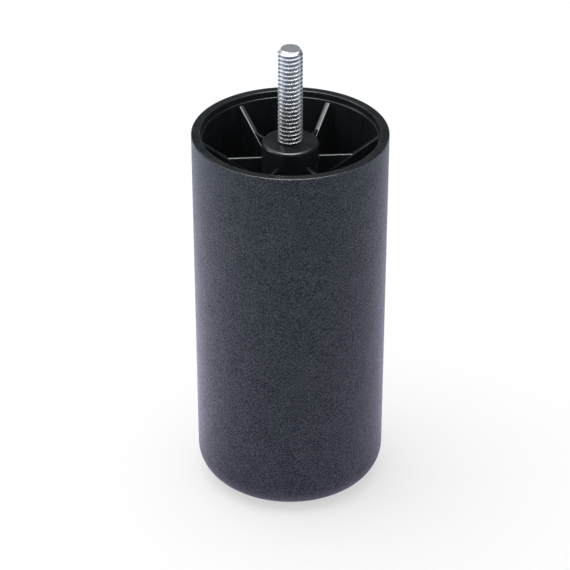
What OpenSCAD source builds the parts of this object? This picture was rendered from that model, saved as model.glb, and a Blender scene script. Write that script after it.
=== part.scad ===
// Round bed leg: a hollow cup with a rounded foot, a centre boss held by webs,
// and a hexagon-head bolt moulded into the boss with its threaded end standing up.
// The origin is the centre of the base, and +Z points up along the bolt.

/* [Outside] */
// Height from the base to the rim
leg_h = 127; // [90:1:180]
// Outside diameter at the rim
top_d = 63.5; // [56:0.5:80]
// Draft on each side of the wall, the core and the boss, in degrees
draft = 0.4; // [0:0.1:1]
// Radius of the rounded foot
foot_r = 10; // [5:0.5:14]

/* [Rim and wall] */
// Width of the flat rim
rim_w = 2.9; // [2:0.1:4]
// Radius on the outer and inner edge of the rim
rim_edge_r = 0.4; // [0.1:0.05:0.8]
// Depth of the recess inside the rim
recess_depth = 2; // [1:0.1:4]
// Width of the ledge at the bottom of the recess
ledge_w = 0.65; // [0.3:0.05:1.5]
// Thickness of the closed base
floor_t = 3; // [2:0.1:6]

/* [Centre boss] */
// Diameter of the boss at its top
boss_d = 18.5; // [16.5:0.5:24]
// Depth of the boss top below the rim
boss_drop = 3.2; // [1:0.1:6]
// Radius on the top edge of the boss
boss_edge_r = 1.2; // [0.3:0.1:2]

/* [Webs] */
// Number of webs between the boss and the wall
web_count = 6; // [3:1:8]
// Thickness of the upper, thin part of a web
web_t = 1.2; // [0.8:0.1:1.7]
// Depth of the level top of a web below the rim
web_drop = 8.6; // [6.5:0.1:14]
// Thickness of the lower, thick part of a web
gusset_t = 1.9; // [1.8:0.1:4]
// Depth of the thick part's top below the ledge, where it meets the wall
gusset_drop = 0.7; // [0.3:0.1:2]
// Slope of the thick part's top, which falls towards the boss, in degrees
gusset_slope = 36; // [25:1:50]
// Radius on the top edges of a web
web_edge_r = 0.35; // [0.1:0.05:0.38]
// Radius of the fillets where a web meets the boss and the wall
web_root_r = 1; // [0.4:0.1:2]

/* [Bolt] */
// Outside diameter of the thread
thread_d = 7.94; // [7.2:0.02:10]
// Height of the bolt's tip above the rim
stud_reach = 29.7; // [15:0.1:50]
// Height of the chamfer at the tip
tip_chamfer = 0.95; // [0.4:0.05:1.5]
// Diameter of the shank inside the boss
shank_d = 7.1; // [5:0.1:7.1]
// Length of the shank inside the boss
shank_l = 30.6; // [12:0.1:60]
// Size across the flats of the bolt's head
head_af = 12.7; // [10:0.1:14]
// Height of the bolt's head
head_h = 5.3; // [3:0.1:8]
// Gap between the bolt and the boss that is moulded round it
bolt_gap = 0; // [0:0.05:0.2]

/* [Hidden] */
$fn = 96;

top_r = top_d / 2;
boss_r = boss_d / 2;
ledge_z = leg_h - recess_depth;
boss_z = leg_h - boss_drop;
recess_r = top_r - rim_w;
core_r = recess_r - ledge_w;
wall_t = top_r - core_r;
// Radius that the draft takes off a wall at depth d below the rim
function taper(d) = d * tan(draft);
foot_top_r = top_r - taper(leg_h);
core_floor_r = core_r - taper(leg_h - floor_t);
// How far the webs and the boss run into the wall and the floor
sink = min(wall_t, floor_t) / 3;

// What a rounded edge of radius r takes from corner p between points a and b; past is
// how far it runs beyond the two sides, as a share of the radius
module edge_waste(a, p, b, r, past = 0) {
    u = (a - p) / norm(a - p);
    v = (b - p) / norm(b - p);
    half = acos(u * v) / 2;
    centre = p + (u + v) / norm(u + v) * r / sin(half);
    function out(q) = q + (q - centre) * past;
    difference() {
        polygon([centre, out(p + u * r / tan(half)), out(p), out(p + v * r / tan(half))]);
        translate(centre) circle(r = r);
    }
}

// Half section of the leg's outside
module outside_section() {
    axis_top = [0, leg_h];
    rim = [top_r, leg_h];
    foot = [foot_top_r, 0];
    difference() {
        polygon([[0, 0], foot, rim, axis_top]);
        edge_waste([0, 0], foot, rim, foot_r, 0.1);
        edge_waste(foot, rim, axis_top, rim_edge_r, 0.1);
    }
}

// Half section of the hollow below the ledge, larger by grow all round
module core_section(grow = 0) {
    bottom = floor_t - grow;
    foot = [core_floor_r + grow, bottom];
    top = [core_r + grow, ledge_z];
    difference() {
        polygon([[0, bottom], foot, top, [0, ledge_z]]);
        edge_waste([0, bottom], foot, top, max(foot_r - wall_t, 1) + grow);
    }
}

// Half section of the recess inside the rim, open above it
module recess_section() {
    ledge = [core_r, ledge_z];
    corner = [recess_r, ledge_z];
    rim = [recess_r, leg_h];
    polygon([[0, ledge_z], corner, [recess_r, leg_h + 1], [0, leg_h + 1]]);
    edge_waste([core_floor_r, floor_t], ledge, corner, min(rim_edge_r, ledge_w / 2));
    edge_waste(corner, rim, [top_r, leg_h], rim_edge_r);
}

module shell() {
    difference() {
        rotate_extrude() outside_section();
        rotate_extrude() core_section();
        rotate_extrude() recess_section();
    }
}

module boss() {
    foot = [boss_r + taper(boss_z - floor_t), floor_t - sink];
    top = [boss_r, boss_z];
    rotate_extrude() difference() {
        polygon([[0, foot[1]], foot, top, [0, boss_z]]);
        edge_waste(foot, top, [0, boss_z], boss_edge_r);
    }
}

// A plate of thickness t whose rounded top passes through radius r at height z
// and rises outwards at the given slope
module plate(t, r, z, slope) {
    section = [[-t / 2, -leg_h * 2], [t / 2, -leg_h * 2], [t / 2, 0], [-t / 2, 0]];
    translate([r, 0, z]) rotate([0, -slope, 0]) rotate([90, 0, 90])
        translate([0, 0, -leg_h])
            linear_extrude(leg_h + top_d) difference() {
                polygon(section);
                edge_waste(section[1], section[2], section[3], web_edge_r);
                edge_waste(section[2], section[3], section[0], web_edge_r);
            }
}

// Fillets on both sides of a plate of thickness t, where it meets a drafted surface that
// starts at radius r and height top; turn is 0 on the boss and 180 on the wall
module root(t, r, top, turn) {
    reach = t / 2 + web_root_r;
    translate([r, 0, top]) rotate([0, -draft, turn]) mirror([0, 0, 1])
        linear_extrude(top - floor_t + sink) difference() {
            polygon([[-sink, -reach], [-sink, reach], [0, reach], [web_root_r, t / 2],
                     [web_root_r, -t / 2], [0, -reach]]);
            for (y = [-reach, reach]) translate([web_root_r, y]) circle(r = web_root_r);
        }
}

module web() {
    web_z = leg_h - web_drop;
    // Height of the thick part's top at radius r
    function gusset_z(r) = ledge_z - gusset_drop - (core_r - r) * tan(gusset_slope);
    intersection() {
        union() {
            plate(web_t, core_r, web_z, 0);
            plate(gusset_t, core_r, gusset_z(core_r), gusset_slope);
        }
        translate([boss_r / 2, -gusset_t, 0]) cube([top_r, gusset_t * 2, leg_h]);
    }
    root(web_t, boss_r, web_z - web_edge_r, 0);
    root(gusset_t, boss_r, gusset_z(boss_r) - web_edge_r, 0);
    root(gusset_t, core_r, gusset_z(core_r - web_root_r) - web_edge_r, 180);
}

module webs() {
    intersection() {
        for (i = [0 : web_count - 1]) rotate(i * 360 / web_count) web();
        rotate_extrude() core_section(sink);
    }
}

// The bolt, larger by gap where the boss holds it
module bolt(gap = 0) {
    head_z = boss_z - shank_l;
    tip_z = leg_h + stud_reach;
    translate([0, 0, head_z - head_h - gap])
        cylinder(d = (head_af + gap * 2) / cos(30), h = head_h + gap * 2, $fn = 6);
    translate([0, 0, head_z]) cylinder(d = shank_d + gap * 2, h = shank_l);
    translate([0, 0, boss_z]) cylinder(d = thread_d, h = tip_z - tip_chamfer - boss_z);
    translate([0, 0, tip_z - tip_chamfer])
        cylinder(d1 = thread_d, d2 = thread_d - tip_chamfer * 2, h = tip_chamfer);
}

module leg_body() {
    color([0.2, 0.21, 0.23]) difference() {
        union() {
            shell();
            boss();
            webs();
        }
        bolt(bolt_gap);
    }
}

module threaded_stud() {
    color([0.75, 0.76, 0.78]) bolt();
}

leg_body();
threaded_stud();
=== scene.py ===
import math

import bpy
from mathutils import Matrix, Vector


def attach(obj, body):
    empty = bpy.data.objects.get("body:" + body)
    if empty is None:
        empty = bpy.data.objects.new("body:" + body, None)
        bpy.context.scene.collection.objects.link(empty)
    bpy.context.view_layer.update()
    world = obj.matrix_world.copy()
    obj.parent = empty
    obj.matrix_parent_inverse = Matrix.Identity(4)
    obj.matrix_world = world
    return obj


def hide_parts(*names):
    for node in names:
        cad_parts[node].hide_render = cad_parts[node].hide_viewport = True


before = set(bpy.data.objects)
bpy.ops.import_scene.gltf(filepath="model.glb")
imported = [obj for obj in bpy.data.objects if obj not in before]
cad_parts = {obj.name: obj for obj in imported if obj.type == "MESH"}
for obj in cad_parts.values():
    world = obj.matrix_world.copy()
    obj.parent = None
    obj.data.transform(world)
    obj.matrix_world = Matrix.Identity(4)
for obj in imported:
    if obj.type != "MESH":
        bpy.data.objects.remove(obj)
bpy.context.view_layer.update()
print("frame loaded:", sorted(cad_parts))

mm = 0.001                    # metres
weldDistance = 1e-6           # metres; points closer than this become one


def hexColour(text):
    # sRGB hex to the linear values that Blender's sockets take
    parts = [int(text[i:i + 2], 16) / 255 for i in (1, 3, 5)]
    linear = [c / 12.92 if c <= 0.04045 else ((c + 0.055) / 1.055) ** 2.4 for c in parts]
    return (*linear, 1.0)


def feed(tree, socket, value):
    # Gives a socket a plain value, or links it to a node, to another socket or to each of a list
    if isinstance(value, list):
        for each in value:
            feed(tree, socket, each)
        return
    if isinstance(value, bpy.types.Node):
        value = value.outputs[0]
    if isinstance(value, bpy.types.NodeSocket):
        tree.links.new(value, socket)
    else:
        socket.default_value = value


def addNode(tree, kind, settings=None, **links):
    # One node with its settings, or with just its operation; a link names an input, or
    # counts it as _0, _1 and so on
    node = tree.nodes.new(kind)
    if isinstance(settings, str):
        settings = {"operation": settings}
    for name, value in (settings or {}).items():
        setattr(node, name, value)
    for name, value in links.items():
        key = int(name[1:]) if name[1:].isdigit() else name.replace("_", " ")
        feed(tree, node.inputs[key], value)
    return node


# the camera
cameraSetup = {
    "distance": 1.0,          # metres from the middle of the leg
    "elevation": 31.15,       # degrees above the floor
    "azimuth": -4.4,          # degrees round from the front
    "lens": 191.3,            # millimetres, as is the sensor
    "sensor": 36,
    "pivotHeight": 0.0635,    # the point that the camera stands away from
    "aimRight": -0.0017,      # the aim point, off the pivot in the picture plane
    "aimUp": 0.0056,
}


def addCamera(setup):
    azimuth = math.radians(setup["azimuth"])
    elevation = math.radians(setup["elevation"])
    pivot = Vector((0, 0, setup["pivotHeight"]))
    away = Vector((math.sin(azimuth) * math.cos(elevation),
                   -math.cos(azimuth) * math.cos(elevation), math.sin(elevation)))
    right = Vector((math.cos(azimuth), math.sin(azimuth), 0))
    up = away.cross(right)
    data = bpy.data.cameras.new("camera")
    data.lens = setup["lens"]
    data.sensor_width = setup["sensor"]
    camera = bpy.data.objects.new("camera", data)
    camera.location = pivot + away * setup["distance"]
    aim = pivot + right * setup["aimRight"] + up * setup["aimUp"]
    camera.rotation_euler = (aim - camera.location).to_track_quat("-Z", "Y").to_euler()
    bpy.context.scene.collection.objects.link(camera)
    bpy.context.scene.camera = camera


addCamera(cameraSetup)
print("camera placed")


def newMaterial(name):
    material = bpy.data.materials.new(name)
    material.use_nodes = True
    return material, material.node_tree, material.node_tree.nodes["Principled BSDF"]


# Polypropylene from a spark-eroded mould: near black, with an even grain that scatters its
# reflections; such a grain is about 0.3 mm and is drawn coarser so that it shows
matteSizes = {
    "colour": "#111d26",
    "grainColour": "#1e282f",   # the tops of the grain, rubbed a little paler
    "grain": 0.00040,           # metres from one grain to the next
    "grainDetail": 1.0,
    "grainBand": (0.45, 0.57),  # the part of the noise that runs from hollow to top
    "grainHeight": 0.0006,
    "blotch": 0.006,            # slow change from the flow of the plastic
    "blotchDetail": 3.0,
    "blotchShift": 0.06,        # how far it moves the noise either way
    "roughness": 0.42,
    "ior": 1.46,
    "gleam": (0.22, 0.78),      # specular level of hollows, which are shaded, and of tops
}


def mattePolypropylene(setup):
    material, tree, shader = newMaterial("sparkErodedPolypropylene")
    place = addNode(tree, "ShaderNodeTexCoord").outputs["Object"]
    grain = addNode(tree, "ShaderNodeTexNoise", Vector=place, Scale=1 / setup["grain"],
                    Detail=setup["grainDetail"])
    blotch = addNode(tree, "ShaderNodeTexNoise", Vector=place, Scale=1 / setup["blotch"],
                     Detail=setup["blotchDetail"])
    shift = addNode(tree, "ShaderNodeMapRange", Value=blotch.outputs["Fac"],
                    To_Min=-setup["blotchShift"], To_Max=setup["blotchShift"])
    level = addNode(tree, "ShaderNodeMath", "ADD", _0=grain.outputs["Fac"], _1=shift)
    low, high = setup["grainBand"]
    tops = addNode(tree, "ShaderNodeMapRange", Value=level, From_Min=low, From_Max=high)
    colour = addNode(tree, "ShaderNodeMix", {"data_type": "RGBA"}, Factor=tops,
                     _6=hexColour(setup["colour"]), _7=hexColour(setup["grainColour"]))
    bump = addNode(tree, "ShaderNodeBump", Height=grain.outputs["Fac"], Distance=setup["grainHeight"],
                   Strength=1.0)
    dim, bright = setup["gleam"]
    gleam = addNode(tree, "ShaderNodeMapRange", Value=tops, To_Min=dim, To_Max=bright)
    feed(tree, shader.inputs["Base Color"], colour.outputs[2])
    feed(tree, shader.inputs["Specular IOR Level"], gleam)
    feed(tree, shader.inputs["Normal"], bump)
    shader.inputs["Roughness"].default_value = setup["roughness"]
    shader.inputs["IOR"].default_value = setup["ior"]
    return material


# The same plastic from the polished core of the mould: glossy, with faint draw marks
# along the way that the core pulled out
glossSizes = {
    "colour": "#141618",
    "paleColour": "#212426",
    "blotch": 0.004,            # metres
    "blotchDetail": 4.0,
    "blotchBand": (0.3, 0.7),   # the part of the noise that the roughness follows
    "drawSquash": 0.08,         # of the pattern's height, so that its marks run long
    "roughness": (0.22, 0.34),
    "ior": 1.49,
}


def glossyPolypropylene(setup):
    material, tree, shader = newMaterial("polishedPolypropylene")
    place = addNode(tree, "ShaderNodeTexCoord").outputs["Object"]
    streak = addNode(tree, "ShaderNodeMapping", Vector=place, Scale=(1, 1, setup["drawSquash"]))
    blotch = addNode(tree, "ShaderNodeTexNoise", Vector=streak, Scale=1 / setup["blotch"],
                     Detail=setup["blotchDetail"])
    colour = addNode(tree, "ShaderNodeMix", {"data_type": "RGBA"}, Factor=blotch.outputs["Fac"],
                     _6=hexColour(setup["colour"]), _7=hexColour(setup["paleColour"]))
    low, high = setup["blotchBand"]
    smooth, rough = setup["roughness"]
    roughness = addNode(tree, "ShaderNodeMapRange", Value=blotch.outputs["Fac"], From_Min=low,
                        From_Max=high, To_Min=smooth, To_Max=rough)
    feed(tree, shader.inputs["Base Color"], colour.outputs[2])
    feed(tree, shader.inputs["Roughness"], roughness)
    shader.inputs["IOR"].default_value = setup["ior"]
    return material


# Rolled steel thread with bright zinc plating: silver with a slight blue cast, with painted
# shade that darkens the roots and the thread towards the boss
zincSizes = {
    "colour": "#eaeaec",
    # painted shade: the colour of the roots, drawn darker where shade falls between the threads
    "rootShadeColour": "#a2a4a8",
    "rootRadius": 0.0031,       # metres, as are the heights below
    "crestRadius": 0.0036,
    "bossShadeColour": "#6e7075",    # painted shade: the thread is drawn darker towards the boss, down in the cup
    "bossShadeHeights": (0.114, 0.142),
    "bossShadeClear": 0.3,           # share of the plating's own colour where the painted shade is deepest
    "tip": 0.1556,              # above this the end is bare and bright
    "tipRoughness": 0.33,       # the end is cut, not rolled
    "speckle": 0.0004,
    "speckleDetail": 3.0,
    "speckleBand": (0.3, 0.7),  # the part of the noise that the roughness follows
    "speckleHeight": 0.00001,
    "roughness": (0.22, 0.36),
    "metallic": 1.0,
}


def zincPlatedSteel(setup):
    material, tree, shader = newMaterial("zincPlatedRolledSteel")
    place = addNode(tree, "ShaderNodeTexCoord").outputs["Object"]
    height = addNode(tree, "ShaderNodeSeparateXYZ", Vector=place).outputs["Z"]
    flat = addNode(tree, "ShaderNodeVectorMath", "MULTIPLY", _0=place, _1=(1, 1, 0))
    radius = addNode(tree, "ShaderNodeVectorMath", "LENGTH", _0=flat).outputs["Value"]
    speckle = addNode(tree, "ShaderNodeTexNoise", Vector=place, Scale=1 / setup["speckle"],
                      Detail=setup["speckleDetail"])
    # painted shade in the roots, fading out towards the crests; bright on the crests and on the cut end
    outOfRootShade = addNode(tree, "ShaderNodeMapRange", Value=radius, From_Min=setup["rootRadius"],
                   From_Max=setup["crestRadius"])
    atTip = addNode(tree, "ShaderNodeMath", "GREATER_THAN", _0=height, _1=setup["tip"])
    bright = addNode(tree, "ShaderNodeMath", "MAXIMUM", _0=outOfRootShade, _1=atTip)
    colour = addNode(tree, "ShaderNodeMix", {"data_type": "RGBA"}, Factor=bright,
                     _6=hexColour(setup["rootShadeColour"]), _7=hexColour(setup["colour"]))
    # painted shade, darker towards the boss
    low, high = setup["bossShadeHeights"]
    unshadedShare = addNode(tree, "ShaderNodeMapRange", Value=height, From_Min=low, From_Max=high,
                    To_Min=setup["bossShadeClear"])
    bossShaded = addNode(tree, "ShaderNodeMix", {"data_type": "RGBA"}, Factor=unshadedShare,
                     _6=hexColour(setup["bossShadeColour"]), _7=colour.outputs[2])
    low, high = setup["speckleBand"]
    smooth, rough = setup["roughness"]
    roughness = addNode(tree, "ShaderNodeMapRange", Value=speckle.outputs["Fac"], From_Min=low,
                        From_Max=high, To_Min=smooth, To_Max=rough)
    cut = addNode(tree, "ShaderNodeMath", "MULTIPLY", _0=atTip, _1=setup["tipRoughness"])
    roughness = addNode(tree, "ShaderNodeMath", "MAXIMUM", _0=roughness, _1=cut)
    bump = addNode(tree, "ShaderNodeBump", Height=speckle.outputs["Fac"], Distance=setup["speckleHeight"],
                   Strength=1.0)
    feed(tree, shader.inputs["Base Color"], bossShaded.outputs[2])
    feed(tree, shader.inputs["Roughness"], roughness)
    feed(tree, shader.inputs["Normal"], bump)
    shader.inputs["Metallic"].default_value = setup["metallic"]
    return material


mattePlastic = mattePolypropylene(matteSizes)
glossyPlastic = glossyPolypropylene(glossSizes)
zincSteel = zincPlatedSteel(zincSizes)
print("materials made")


def newTree(name, sizes):
    # A geometry tree with one named input for each size, and the outputs that carry them
    tree = bpy.data.node_groups.new(name, "GeometryNodeTree")
    tree.interface.new_socket(name="Geometry", in_out="OUTPUT", socket_type="NodeSocketGeometry")
    kinds = {int: "NodeSocketInt", float: "NodeSocketFloat", bpy.types.Material: "NodeSocketMaterial"}
    for label, value in sizes.items():
        tree.interface.new_socket(name=label, in_out="INPUT", socket_type=kinds[type(value)])
    return tree, addNode(tree, "NodeGroupInput").outputs


def finishTree(tree, skin, sharpAngle, *finishes):
    # Smooth shading up to an angle, then real geometry with its materials, each given
    # with the faces that take it
    bend = addNode(tree, "GeometryNodeInputMeshEdgeAngle").outputs["Unsigned Angle"]
    soft = addNode(tree, "FunctionNodeCompare", {"data_type": "FLOAT", "operation": "LESS_THAN"},
                   _0=bend, _1=math.radians(sharpAngle))
    skin = addNode(tree, "GeometryNodeSetShadeSmooth", {"domain": "FACE"}, Geometry=skin, Shade_Smooth=True)
    skin = addNode(tree, "GeometryNodeSetShadeSmooth", {"domain": "EDGE"}, Geometry=skin, Shade_Smooth=soft)
    skin = addNode(tree, "GeometryNodeRealizeInstances", Geometry=skin)
    for material, chosen in finishes:
        skin = addNode(tree, "GeometryNodeSetMaterial", Geometry=skin, Material=material, Selection=chosen)
    addNode(tree, "NodeGroupOutput", Geometry=skin)


def growPiece(name, tree, sizes):
    # Runs the tree with its sizes and keeps what it makes as a plain mesh
    piece = bpy.data.objects.new(name, bpy.data.meshes.new(name))
    bpy.context.scene.collection.objects.link(piece)
    modifier = piece.modifiers.new(tree.name, "NODES")
    modifier.node_group = tree
    for item in tree.interface.items_tree:
        if item.in_out == "INPUT":
            modifier[item.identifier] = sizes[item.name]
    graph = bpy.context.evaluated_depsgraph_get()
    mesh = bpy.data.meshes.new_from_object(piece.evaluated_get(graph))
    piece.modifiers.clear()
    # the tree leaves an empty slot before its materials
    finishes = list(mesh.materials)
    chosen = [face.material_index for face in mesh.polygons]
    kept = [material for material in finishes if material]
    mesh.materials.clear()
    for material in kept:
        mesh.materials.append(material)
    mesh.polygons.foreach_set("material_index", [kept.index(finishes[i]) for i in chosen])
    piece.data = mesh
    mesh.name = name
    print(name, "has", len(mesh.vertices), "vertices")
    return piece


def roundedLine(tree, corners, steps, closed=False):
    # A line through corners given as across, height and rounding; a sweep turns its y axis
    # downwards, so the heights are turned over here
    index = addNode(tree, "GeometryNodeInputIndex")
    places = addNode(tree, "GeometryNodeIndexSwitch", {"data_type": "VECTOR"}, Index=index)
    radii = addNode(tree, "GeometryNodeIndexSwitch", {"data_type": "FLOAT"}, Index=index)
    for switch in (places, radii):
        while len(switch.index_switch_items) < len(corners):
            switch.index_switch_items.new()
    for i, (across, height, rounding) in enumerate(corners):
        feed(tree, places.inputs[i + 1], addNode(tree, "ShaderNodeCombineXYZ", X=across, Y=height))
        feed(tree, radii.inputs[i + 1], rounding)
    turned = addNode(tree, "ShaderNodeVectorMath", "MULTIPLY", _0=places, _1=(1, -1, 1))
    row = addNode(tree, "GeometryNodeMeshLine", Count=len(corners))
    line = addNode(tree, "GeometryNodeMeshToCurve", Mesh=row)
    line = addNode(tree, "GeometryNodeSetPosition", Geometry=line, Position=turned)
    line = addNode(tree, "GeometryNodeSetSplineCyclic", Geometry=line, Cyclic=closed)
    return addNode(tree, "GeometryNodeFilletCurve", {"mode": "POLY"}, Curve=line, Count=steps,
                   Radius=radii, Limit_Radius=True)


def revolve(tree, outline, steps):
    # Turns a half section round the upright axis and closes its seam and poles
    ringRadius = 0.001        # any small ring does, as the outline moves in by the same
    ring = addNode(tree, "GeometryNodeCurvePrimitiveCircle", {"mode": "RADIUS"},
                   Resolution=steps, Radius=ringRadius)
    moved = addNode(tree, "GeometryNodeTransform", Geometry=outline, Translation=(-ringRadius, 0, 0))
    skin = addNode(tree, "GeometryNodeCurveToMesh", Curve=ring, Profile_Curve=moved)
    skin = addNode(tree, "GeometryNodeFlipFaces", Mesh=skin)
    return addNode(tree, "GeometryNodeMergeByDistance", Geometry=skin, Distance=weldDistance)


# the threaded stud
studSizes = {                 # millimetres
    "threadDiameter": 7.94,
    "pitch": 1.411,           # 18 threads to the inch
    "threadDepth": 0.865,
    "crestFlat": 0.125,       # share of the pitch, as is the root's
    "rootFlat": 0.25,
    "bossHeight": 123.8,
    "runIn": 2.3,             # thread below the top of the boss
    "tipHeight": 156.7,
    "tipChamfer": 0.95,
    "shankDiameter": 7.1,
    "shankLength": 30.6,
    "headFlats": 12.7,
    "headHeight": 5.3,
    "stepsAround": 80,
    "rowsPerTurn": 16,        # so that rows lie on the edges of crest and root
    "sharpAngle": 40,         # degrees; smaller bends are shaded smooth
}


def studInputs(sizes):
    start = sizes["bossHeight"] - sizes["runIn"]
    headTop = sizes["bossHeight"] - sizes["shankLength"]
    turns = (sizes["tipHeight"] - start) / sizes["pitch"]
    return {
        "Thread Radius": sizes["threadDiameter"] / 2 * mm,
        "Pitch": sizes["pitch"] * mm,
        "Thread Depth": sizes["threadDepth"] * mm,
        "Crest End": sizes["crestFlat"],
        "Root Start": 1 - sizes["rootFlat"],
        "Thread Start": start * mm,
        "Tip": sizes["tipHeight"] * mm,
        "Tip Chamfer": sizes["tipChamfer"] * mm,
        "Shank Radius": sizes["shankDiameter"] / 2 * mm,
        "Head Top": headTop * mm,
        "Head Base": (headTop - sizes["headHeight"]) * mm,
        "Head Half Flats": sizes["headFlats"] / 2 * mm,
        "Steps Around": sizes["stepsAround"],
        "Rows Per Turn": float(sizes["rowsPerTurn"]),
        "Thread Rows": math.ceil((turns + 1) * sizes["rowsPerTurn"]) + 1,
        "Plating": zincSteel,
    }


def studTree(sizes, sharpAngle):
    tree, size = newTree("rolledStud", sizes)

    # the lower rows: base, head, and shank, as radius, height and how far it is a hexagon
    lower = [
        (0.0, size["Head Base"], 0.0),
        (size["Head Half Flats"], size["Head Base"], 1.0),
        (size["Head Half Flats"], size["Head Top"], 1.0),
        (size["Shank Radius"], size["Head Top"], 0.0),
        (size["Shank Radius"], size["Thread Start"], 0.0),
    ]

    # a sheet of rows one unit wide and high, which is wrapped round the axis below; a last
    # row closes it at the tip
    columns = addNode(tree, "ShaderNodeMath", "ADD", _0=size["Steps Around"], _1=1.0)
    rows = addNode(tree, "ShaderNodeMath", "ADD", _0=size["Thread Rows"], _1=len(lower) + 1.0)
    lastRow = addNode(tree, "ShaderNodeMath", "SUBTRACT", _0=rows, _1=1.0)
    sheet = addNode(tree, "GeometryNodeMeshGrid", Size_X=1.0, Size_Y=1.0,
                    Vertices_X=columns, Vertices_Y=rows)
    halfSheet = 0.5
    place = addNode(tree, "ShaderNodeSeparateXYZ", Vector=addNode(tree, "GeometryNodeInputPosition"))
    turn = addNode(tree, "ShaderNodeMath", "ADD", _0=place.outputs["X"], _1=halfSheet)
    angle = addNode(tree, "ShaderNodeMath", "MULTIPLY", _0=turn, _1=math.tau)
    upward = addNode(tree, "ShaderNodeMath", "ADD", _0=place.outputs["Y"], _1=halfSheet)
    upward = addNode(tree, "ShaderNodeMath", "MULTIPLY", _0=upward, _1=lastRow)
    row = addNode(tree, "ShaderNodeMath", "ROUND", _0=upward)

    table = addNode(tree, "GeometryNodeIndexSwitch", {"data_type": "VECTOR"}, Index=row)
    while len(table.index_switch_items) < len(lower):
        table.index_switch_items.new()
    for i, (radius, height, hexagon) in enumerate(lower):
        entry = addNode(tree, "ShaderNodeCombineXYZ", X=radius, Y=height, Z=hexagon)
        feed(tree, table.inputs[i + 1], entry)
    low = addNode(tree, "ShaderNodeSeparateXYZ", Vector=table)
    # a hexagon's radius at each angle, with a corner on the x axis
    offFlat = addNode(tree, "ShaderNodeMath", "MODULO", _0=angle, _1=math.pi / 3)
    offFlat = addNode(tree, "ShaderNodeMath", "SUBTRACT", _0=offFlat, _1=math.pi / 6)
    cosine = addNode(tree, "ShaderNodeMath", "COSINE", _0=offFlat)
    hexed = addNode(tree, "ShaderNodeMath", "DIVIDE", _0=low.outputs["X"], _1=cosine)
    lowRadius = addNode(tree, "ShaderNodeMix", {"data_type": "FLOAT"}, Factor=low.outputs["Z"],
                        _2=low.outputs["X"], _3=hexed)

    # the thread: its rows climb with the turn as the helix does, so it is right-handed
    turns = addNode(tree, "ShaderNodeMath", "SUBTRACT", _0=row, _1=float(len(lower)))
    turns = addNode(tree, "ShaderNodeMath", "DIVIDE", _0=turns, _1=size["Rows Per Turn"])
    turns = addNode(tree, "ShaderNodeMath", "ADD", _0=turns, _1=turn)
    turns = addNode(tree, "ShaderNodeMath", "SUBTRACT", _0=turns, _1=1.0)
    height = addNode(tree, "ShaderNodeMath", "MULTIPLY_ADD", _0=turns, _1=size["Pitch"],
                     _2=size["Thread Start"])
    height = addNode(tree, "ShaderNodeClamp", Value=height, Min=size["Thread Start"], Max=size["Tip"])
    # where each point is across the thread, as a share of the pitch with the crest in the
    # middle, and then how far that is from the crest, up to 1 in the root
    climb = addNode(tree, "ShaderNodeMath", "SUBTRACT", _0=height, _1=size["Thread Start"])
    turns = addNode(tree, "ShaderNodeMath", "DIVIDE", _0=climb, _1=size["Pitch"])
    phase = addNode(tree, "ShaderNodeMath", "SUBTRACT", _0=turns, _1=turn)
    phase = addNode(tree, "ShaderNodeMath", "FRACT", _0=phase)
    offCrest = addNode(tree, "ShaderNodeMath", "SUBTRACT", _0=phase, _1=0.5)
    offCrest = addNode(tree, "ShaderNodeMath", "ABSOLUTE", _0=offCrest)
    offCrest = addNode(tree, "ShaderNodeMath", "MULTIPLY", _0=offCrest, _1=2.0)
    depth = addNode(tree, "ShaderNodeMapRange", Value=offCrest, From_Min=size["Crest End"],
                    From_Max=size["Root Start"], To_Max=size["Thread Depth"])
    # the chamfer cuts deeper than the thread near the tip
    chamfer = addNode(tree, "ShaderNodeMath", "ADD", _0=height, _1=size["Tip Chamfer"])
    chamfer = addNode(tree, "ShaderNodeMath", "SUBTRACT", _0=chamfer, _1=size["Tip"])
    depth = addNode(tree, "ShaderNodeMath", "MAXIMUM", _0=depth, _1=chamfer)
    threaded = addNode(tree, "ShaderNodeMath", "SUBTRACT", _0=size["Thread Radius"], _1=depth)
    beforeLast = addNode(tree, "ShaderNodeMath", "LESS_THAN", _0=row, _1=lastRow)
    threaded = addNode(tree, "ShaderNodeMath", "MULTIPLY", _0=threaded, _1=beforeLast)

    isThread = addNode(tree, "ShaderNodeMath", "GREATER_THAN", _0=row, _1=len(lower) - 1.0)
    radius = addNode(tree, "ShaderNodeMix", {"data_type": "FLOAT"}, Factor=isThread,
                     _2=lowRadius, _3=threaded)
    level = addNode(tree, "ShaderNodeMix", {"data_type": "FLOAT"}, Factor=isThread,
                    _2=low.outputs["Y"], _3=height)
    across = addNode(tree, "ShaderNodeMath", "COSINE", _0=angle)
    across = addNode(tree, "ShaderNodeMath", "MULTIPLY", _0=radius, _1=across)
    along = addNode(tree, "ShaderNodeMath", "SINE", _0=angle)
    along = addNode(tree, "ShaderNodeMath", "MULTIPLY", _0=radius, _1=along)
    spot = addNode(tree, "ShaderNodeCombineXYZ", X=across, Y=along, Z=level)
    skin = addNode(tree, "GeometryNodeSetPosition", Geometry=sheet, Position=spot)
    skin = addNode(tree, "GeometryNodeMergeByDistance", Geometry=skin, Distance=weldDistance)
    finishTree(tree, skin, sharpAngle, (size["Plating"], True))
    return tree


studValues = studInputs(studSizes)
stud = growPiece("threadedStud", studTree(studValues, studSizes["sharpAngle"]), studValues)
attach(stud, "root")
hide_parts("threaded_stud")
print("stud threaded")

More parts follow.
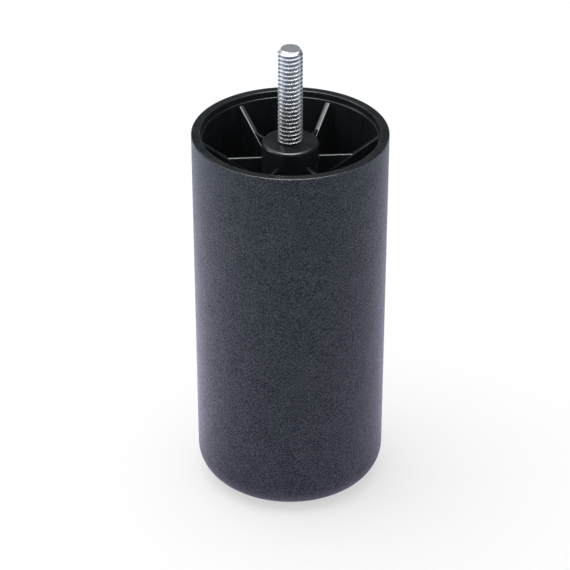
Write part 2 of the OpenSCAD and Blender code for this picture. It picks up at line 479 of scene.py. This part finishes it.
# the moulded leg
legSizes = {                  # millimetres and degrees
    "height": 127.0,
    "rimDiameter": 63.5,
    "draft": 0.4,             # lean of the wall, the core and the boss
    "footRounding": 10.0,
    "rimWidth": 2.9,
    "edgeRounding": 0.4,
    "recessDepth": 2.0,
    "ledgeWidth": 0.65,
    "floorThickness": 3.0,
    "bossDiameter": 18.5,
    "bossDrop": 3.2,          # below the rim
    "bossRounding": 1.2,
    "threadGrip": 0.05,       # how far the boss closes inside the root of the thread
    "webCount": 6,
    "webThickness": 1.2,
    "webDrop": 8.6,           # below the rim
    "gussetThickness": 1.9,   # the lower, sloping part of a web
    "gussetDrop": 0.7,        # below the ledge, where it meets the wall
    "gussetSlope": 36.0,
    "webRounding": 0.5,
    "rootFillet": 1.0,
    "sink": 1.0,              # how far webs run into the wall, the boss and the floor
    "stepsRound": 192,
    "cornerSteps": 10,
    "webCornerSteps": 6,
    "sharpAngle": 32,         # smaller bends are shaded smooth
    # by the upright part of a face's normal: always grained below the first of these, and
    # never above the second
    "grainFacing": (-0.1, 0.7),
}


def legInputs(sizes, stud):
    lean = math.tan(math.radians(sizes["draft"]))
    slope = math.tan(math.radians(sizes["gussetSlope"]))
    height = sizes["height"]
    rim = sizes["rimDiameter"] / 2
    recess = rim - sizes["rimWidth"]
    core = recess - sizes["ledgeWidth"]
    coreRounding = sizes["footRounding"] - rim + core
    ledge = height - sizes["recessDepth"]
    floor = sizes["floorThickness"]
    coreFoot = core - (height - floor) * lean
    boss = sizes["bossDiameter"] / 2
    bossTop = height - sizes["bossDrop"]
    bossFoot = boss + (bossTop - floor) * lean
    headTop = bossTop - stud["shankLength"]
    webTop = height - sizes["webDrop"]
    gussetTop = ledge - sizes["gussetDrop"]
    rounding = sizes["webRounding"]
    fillet = sizes["rootFillet"]
    sink = sizes["sink"]

    def flat(radius):
        # where a flat plate as wide as the fillets meets a round surface
        reach = sizes["gussetThickness"] / 2 + fillet
        return math.sqrt(radius ** 2 - reach ** 2)

    lengths = {
        "Height": height,
        "Rim Radius": rim,
        "Foot Radius": rim - height * lean,
        "Foot Rounding": sizes["footRounding"],
        "Edge Rounding": sizes["edgeRounding"],
        "Recess Radius": recess,
        "Ledge Height": ledge,
        "Ledge Rounding": sizes["ledgeWidth"] / 2,
        "Core Radius": core,
        "Core Foot Radius": coreFoot,
        "Core Rounding": coreRounding,
        "Floor Height": floor,
        "Boss Radius": boss,
        "Boss Foot Radius": bossFoot,
        "Boss Height": bossTop,
        "Boss Rounding": sizes["bossRounding"],
        "Bore Radius": stud["threadDiameter"] / 2 - stud["threadDepth"] - sizes["threadGrip"],
        "Thread End": bossTop - stud["runIn"],
        "Shank Radius": stud["shankDiameter"] / 2,
        "Head Top": headTop,
        "Head Base": headTop - stud["headHeight"],
        "Head Radius": stud["headFlats"] / 2 / math.cos(math.pi / 6),
        "Limit Height": floor - sink,
        "Limit Radius": core + sink,
        "Limit Foot Radius": coreFoot + sink,
        "Limit Rounding": coreRounding + sink,
        "Web Half": sizes["webThickness"] / 2,
        "Web Height": webTop,
        "Web Start": boss - sink,
        "Web End": core + 2 * sink,
        "Web Foot": -2 * height,
        "Web Rounding": rounding,
        "Gusset Half": sizes["gussetThickness"] / 2,
        "Gusset Height": gussetTop,
        "Root Fillet": fillet,
        "Fillet Back": -sink,
        "Web Fillet Top": webTop - rounding,
        "Boss Fillet Top": gussetTop - (core - boss) * slope - rounding,
        "Core Fillet Top": gussetTop - fillet * slope - rounding,
        "Boss Flat": flat(boss),
        "Boss Foot Flat": flat(bossFoot),
        "Core Flat": flat(core),
        "Core Foot Flat": flat(coreFoot),
        "Grain Radius": (rim + recess) / 2,
    }
    values = {name: value * mm for name, value in lengths.items()}
    values["Gusset Slope"] = slope
    values["Grain Always"], values["Grain Never"] = sizes["grainFacing"]
    values["Web Count"] = sizes["webCount"]
    values["Steps Round"] = sizes["stepsRound"]
    values["Corner Steps"] = sizes["cornerSteps"]
    values["Web Corner Steps"] = sizes["webCornerSteps"]
    values["Matte"] = mattePlastic
    values["Gloss"] = glossyPlastic
    return values


def cupShape(tree, size):
    # the cup and the boss, turned from one half section
    section = roundedLine(tree, [
        (0.0, 0.0, 0.0),
        (size["Foot Radius"], 0.0, size["Foot Rounding"]),
        (size["Rim Radius"], size["Height"], size["Edge Rounding"]),
        (size["Recess Radius"], size["Height"], size["Edge Rounding"]),
        (size["Recess Radius"], size["Ledge Height"], 0.0),
        (size["Core Radius"], size["Ledge Height"], size["Ledge Rounding"]),
        (size["Core Foot Radius"], size["Floor Height"], size["Core Rounding"]),
        (size["Boss Foot Radius"], size["Floor Height"], size["Edge Rounding"]),
        (size["Boss Radius"], size["Boss Height"], size["Boss Rounding"]),
        (size["Bore Radius"], size["Boss Height"], 0.0),
        (size["Bore Radius"], size["Thread End"], 0.0),
        (size["Shank Radius"], size["Thread End"], 0.0),
        (size["Shank Radius"], size["Head Top"], 0.0),
        (size["Head Radius"], size["Head Top"], 0.0),
        (size["Head Radius"], size["Head Base"], 0.0),
        (0.0, size["Head Base"], 0.0),
    ], size["Corner Steps"])
    return revolve(tree, section, size["Steps Round"])


def webShape(tree, size):
    # one web, along the x axis

    def sweep(outline, start, top, end, foot):
        # carries an outline down a straight line in the half section's plane
        path = addNode(tree, "GeometryNodeCurvePrimitiveLine",
                       Start=addNode(tree, "ShaderNodeCombineXYZ", X=start, Z=top),
                       End=addNode(tree, "ShaderNodeCombineXYZ", X=end, Z=foot))
        return addNode(tree, "GeometryNodeCurveToMesh", Curve=path, Profile_Curve=outline, Fill_Caps=True)

    def plate(half, height, slope):
        # a plate with a rounded top that passes through the core's edge at this height
        left = addNode(tree, "ShaderNodeMath", "MULTIPLY", _0=half, _1=-1.0)
        outline = roundedLine(tree, [
            (left, 0.0, size["Web Rounding"]), (half, 0.0, size["Web Rounding"]),
            (half, size["Web Foot"], 0.0), (left, size["Web Foot"], 0.0),
        ], size["Web Corner Steps"], closed=True)
        solid = sweep(outline, size["Web Start"], 0.0, size["Web End"], 0.0)
        place = addNode(tree, "ShaderNodeSeparateXYZ", Vector=addNode(tree, "GeometryNodeInputPosition"))
        offCore = addNode(tree, "ShaderNodeMath", "SUBTRACT", _0=place.outputs["X"], _1=size["Core Radius"])
        level = addNode(tree, "ShaderNodeMath", "MULTIPLY_ADD", _0=offCore, _1=slope, _2=height)
        lift = addNode(tree, "ShaderNodeCombineXYZ", Z=level)
        return addNode(tree, "GeometryNodeSetPosition", Geometry=solid, Offset=lift)

    def fillets(half, top, start, end):
        # both fillets of a plate, as one post that leans with the draft
        radius = size["Root Fillet"]
        left = addNode(tree, "ShaderNodeMath", "MULTIPLY", _0=half, _1=-1.0)
        wide = addNode(tree, "ShaderNodeMath", "ADD", _0=half, _1=radius)
        farLeft = addNode(tree, "ShaderNodeMath", "MULTIPLY", _0=wide, _1=-1.0)
        outline = roundedLine(tree, [
            (farLeft, 0.0, 0.0), (left, 0.0, radius), (left, radius, 0.0),
            (half, radius, 0.0), (half, 0.0, radius), (wide, 0.0, 0.0),
            (wide, size["Fillet Back"], 0.0), (farLeft, size["Fillet Back"], 0.0),
        ], size["Web Corner Steps"], closed=True)
        return sweep(outline, start, top, end, size["Limit Height"])

    parts = [
        plate(size["Web Half"], size["Web Height"], 0.0),
        plate(size["Gusset Half"], size["Gusset Height"], size["Gusset Slope"]),
        fillets(size["Web Half"], size["Web Fillet Top"], size["Boss Flat"], size["Boss Foot Flat"]),
        fillets(size["Gusset Half"], size["Boss Fillet Top"], size["Boss Flat"], size["Boss Foot Flat"]),
        fillets(size["Gusset Half"], size["Core Fillet Top"], size["Core Flat"], size["Core Foot Flat"]),
    ]
    web = addNode(tree, "GeometryNodeMeshBoolean", {"operation": "UNION", "solver": "MANIFOLD"},
                  Mesh_2=parts)
    # what keeps the web inside the wall and the floor
    limit = roundedLine(tree, [
        (0.0, size["Limit Height"], 0.0),
        (size["Limit Foot Radius"], size["Limit Height"], size["Limit Rounding"]),
        (size["Limit Radius"], size["Ledge Height"], 0.0),
        (0.0, size["Ledge Height"], 0.0),
    ], size["Corner Steps"])
    limit = revolve(tree, limit, size["Steps Round"])
    return addNode(tree, "GeometryNodeMeshBoolean", {"operation": "INTERSECT", "solver": "MANIFOLD"},
                   Mesh_2=[web, limit])


def grainedFaces(tree, size):
    # the spark-eroded outside: beyond the middle of the rim and not level, or facing down
    place = addNode(tree, "GeometryNodeInputPosition")
    flat = addNode(tree, "ShaderNodeVectorMath", "MULTIPLY", _0=place, _1=(1, 1, 0))
    radius = addNode(tree, "ShaderNodeVectorMath", "LENGTH", _0=flat).outputs["Value"]
    beyond = addNode(tree, "ShaderNodeMath", "GREATER_THAN", _0=radius, _1=size["Grain Radius"])
    normal = addNode(tree, "ShaderNodeSeparateXYZ", Vector=addNode(tree, "GeometryNodeInputNormal"))
    facing = normal.outputs["Z"]
    steep = addNode(tree, "ShaderNodeMath", "LESS_THAN", _0=facing, _1=size["Grain Never"])
    under = addNode(tree, "ShaderNodeMath", "LESS_THAN", _0=facing, _1=size["Grain Always"])
    outside = addNode(tree, "ShaderNodeMath", "MULTIPLY", _0=beyond, _1=steep)
    return addNode(tree, "ShaderNodeMath", "MAXIMUM", _0=outside, _1=under)


def legTree(sizes, sharpAngle):
    tree, size = newTree("mouldedLeg", sizes)
    cup = cupShape(tree, size)
    web = webShape(tree, size)
    spots = addNode(tree, "GeometryNodeMeshLine", Count=size["Web Count"], Offset=(0, 0, 0))
    step = addNode(tree, "ShaderNodeMath", "DIVIDE", _0=math.tau, _1=size["Web Count"])
    turn = addNode(tree, "ShaderNodeMath", "MULTIPLY", _0=addNode(tree, "GeometryNodeInputIndex"), _1=step)
    webs = addNode(tree, "GeometryNodeInstanceOnPoints", Points=spots, Instance=web,
                   Rotation=addNode(tree, "ShaderNodeCombineXYZ", Z=turn))
    webs = addNode(tree, "GeometryNodeRealizeInstances", Geometry=webs)
    leg = addNode(tree, "GeometryNodeMeshBoolean", {"operation": "UNION", "solver": "MANIFOLD"},
                  Mesh_2=[cup, webs])
    finishTree(tree, leg, sharpAngle, (size["Gloss"], True), (size["Matte"], grainedFaces(tree, size)))
    return tree


legValues = legInputs(legSizes, studSizes)
leg = growPiece("mouldedLeg", legTree(legValues, legSizes["sharpAngle"]), legValues)
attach(leg, "root")
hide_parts("leg_body")
print("leg moulded")

# floor, world and lamps
studio = {
    "floorSize": 6.0,
    "floorGap": 0.0001,          # keeps the floor just clear of the leg's flat foot
    "floorColour": "#f4f4f4",
    "floorRoughness": 0.9,
    "floorGlow": 0.55,           # share of plain white that the camera sees in the floor
    # what glossy surfaces see of the floor, by metres from the leg's axis: a painted pool of light
    # that is weaker in front of the leg than behind it, and painted shade nearest the leg
    "poolRings": ((0.032, "#d2c8e4"), (0.055, "#e9e2ff"), (0.15, "#dcd8f0"), (0.30, "#98a2ac")),
    "poolLevels": (1.35, 3.7),   # in front and behind
    "poolPower": 2.2,            # how late the pool brightens on its way round
    "poolAim": (-0.2, 0.98, 0),  # the way to its brightest part
    "skyLevel": 0.8,             # of the white sky that lights the leg
    # what glossy surfaces see above, by the sine of the elevation
    "glossSky": ((0.05, "#ffffff"), (0.22, "#3c4d52"), (0.68, "#3c4d52"), (0.82, "#e8ecee")),
    "lampTarget": (0, 0, 0.08),
    # each lamp: the way to it, its distance and sizes in metres, its power in watts, and
    # whether it lights the leg or only shows in its gloss
    "lamps": {
        "overheadSoftbox": ((-0.31, 0.15, 0.94), 1.0, (1.2, 1.2), 6.5, True),
        "highlightStrip": ((0.0, -0.14, 0.99), 0.9, (0.65, 0.45), 12.0, False),
        "leftStrip": ((-0.87, 0.1, 0.46), 0.9, (0.25, 0.4), 1.8, False),
    },
}
plainWhite = (1, 1, 1, 1)


def setStops(ramp, marks):
    # Gives a colour ramp one stop for each mark, which is a position and a hex colour
    stops = ramp.color_ramp.elements
    while len(stops) < len(marks):
        stops.new(1.0)
    for stop, (place, colour) in zip(stops, marks):
        stop.position = place
        stop.color = hexColour(colour)


def paperSweep(setup):
    # Matt paper, with a little more white for the camera and a painted glowing pool for glossy surfaces
    material, tree, shader = newMaterial("paperSweep")
    shader.inputs["Base Color"].default_value = hexColour(setup["floorColour"])
    shader.inputs["Roughness"].default_value = setup["floorRoughness"]
    place = addNode(tree, "ShaderNodeTexCoord").outputs["Object"]
    reach = addNode(tree, "ShaderNodeVectorMath", "LENGTH", _0=place).outputs["Value"]
    rings = addNode(tree, "ShaderNodeValToRGB", Fac=reach)
    setStops(rings, setup["poolRings"])
    aim = addNode(tree, "ShaderNodeVectorMath", "NORMALIZE", _0=place)
    facing = addNode(tree, "ShaderNodeVectorMath", "DOT_PRODUCT", _0=aim, _1=setup["poolAim"])
    share = addNode(tree, "ShaderNodeMapRange", Value=facing.outputs["Value"], From_Min=-1.0)
    late = addNode(tree, "ShaderNodeMath", "POWER", _0=share, _1=setup["poolPower"])
    front, back = setup["poolLevels"]
    level = addNode(tree, "ShaderNodeMapRange", Value=late, To_Min=front, To_Max=back)
    pool = addNode(tree, "ShaderNodeEmission", Color=rings, Strength=level)
    white = addNode(tree, "ShaderNodeEmission", Color=plainWhite, Strength=1.0)
    rays = addNode(tree, "ShaderNodeLightPath")
    glow = addNode(tree, "ShaderNodeMath", "MULTIPLY", _0=rays.outputs["Is Camera Ray"],
                   _1=setup["floorGlow"])
    seen = addNode(tree, "ShaderNodeMixShader", Fac=glow, _1=shader, _2=white)
    mixed = addNode(tree, "ShaderNodeMixShader", Fac=rays.outputs["Is Glossy Ray"], _1=seen, _2=pool)
    feed(tree, tree.nodes["Material Output"].inputs["Surface"], mixed)
    return material


def addFloor(setup):
    half = setup["floorSize"] / 2
    low = -setup["floorGap"]
    mesh = bpy.data.meshes.new("floor")
    corners = [(-half, -half, low), (half, -half, low), (half, half, low), (-half, half, low)]
    mesh.from_pydata(corners, [], [(0, 1, 2, 3)])
    mesh.materials.append(paperSweep(setup))
    floor = bpy.data.objects.new("floor", mesh)
    bpy.context.scene.collection.objects.link(floor)


def addWorld(setup):
    # White for the camera, a plain sky that lights the leg, and another that its gloss shows
    world = bpy.data.worlds.new("studio")
    bpy.context.scene.world = world
    world.use_nodes = True
    tree = world.node_tree
    tree.nodes.clear()
    rays = addNode(tree, "ShaderNodeLightPath")
    direction = addNode(tree, "ShaderNodeTexCoord").outputs["Generated"]
    upward = addNode(tree, "ShaderNodeSeparateXYZ", Vector=direction).outputs["Z"]
    band = addNode(tree, "ShaderNodeValToRGB", Fac=upward)
    setStops(band, setup["glossSky"])
    sky = addNode(tree, "ShaderNodeBackground", Color=plainWhite, Strength=setup["skyLevel"])
    gloss = addNode(tree, "ShaderNodeBackground", Color=band, Strength=1.0)
    white = addNode(tree, "ShaderNodeBackground", Color=plainWhite, Strength=1.0)
    lit = addNode(tree, "ShaderNodeMixShader", Fac=rays.outputs["Is Glossy Ray"], _1=sky, _2=gloss)
    seen = addNode(tree, "ShaderNodeMixShader", Fac=rays.outputs["Is Camera Ray"], _1=lit, _2=white)
    addNode(tree, "ShaderNodeOutputWorld", Surface=seen)


def addLamp(name, target, direction, distance, size, power, lightsLeg):
    data = bpy.data.lights.new(name, "AREA")
    data.shape = "RECTANGLE"
    data.size, data.size_y = size
    data.energy = power
    lamp = bpy.data.objects.new(name, data)
    lamp.location = Vector(target) + Vector(direction).normalized() * distance
    lamp.rotation_euler = (Vector(target) - lamp.location).to_track_quat("-Z", "Y").to_euler()
    lamp.visible_diffuse = lightsLeg
    bpy.context.scene.collection.objects.link(lamp)


addFloor(studio)
addWorld(studio)
for lampName, lampValues in studio["lamps"].items():
    addLamp(lampName, studio["lampTarget"], *lampValues)
bpy.context.scene.view_settings.view_transform = "Standard"
print("studio lit")
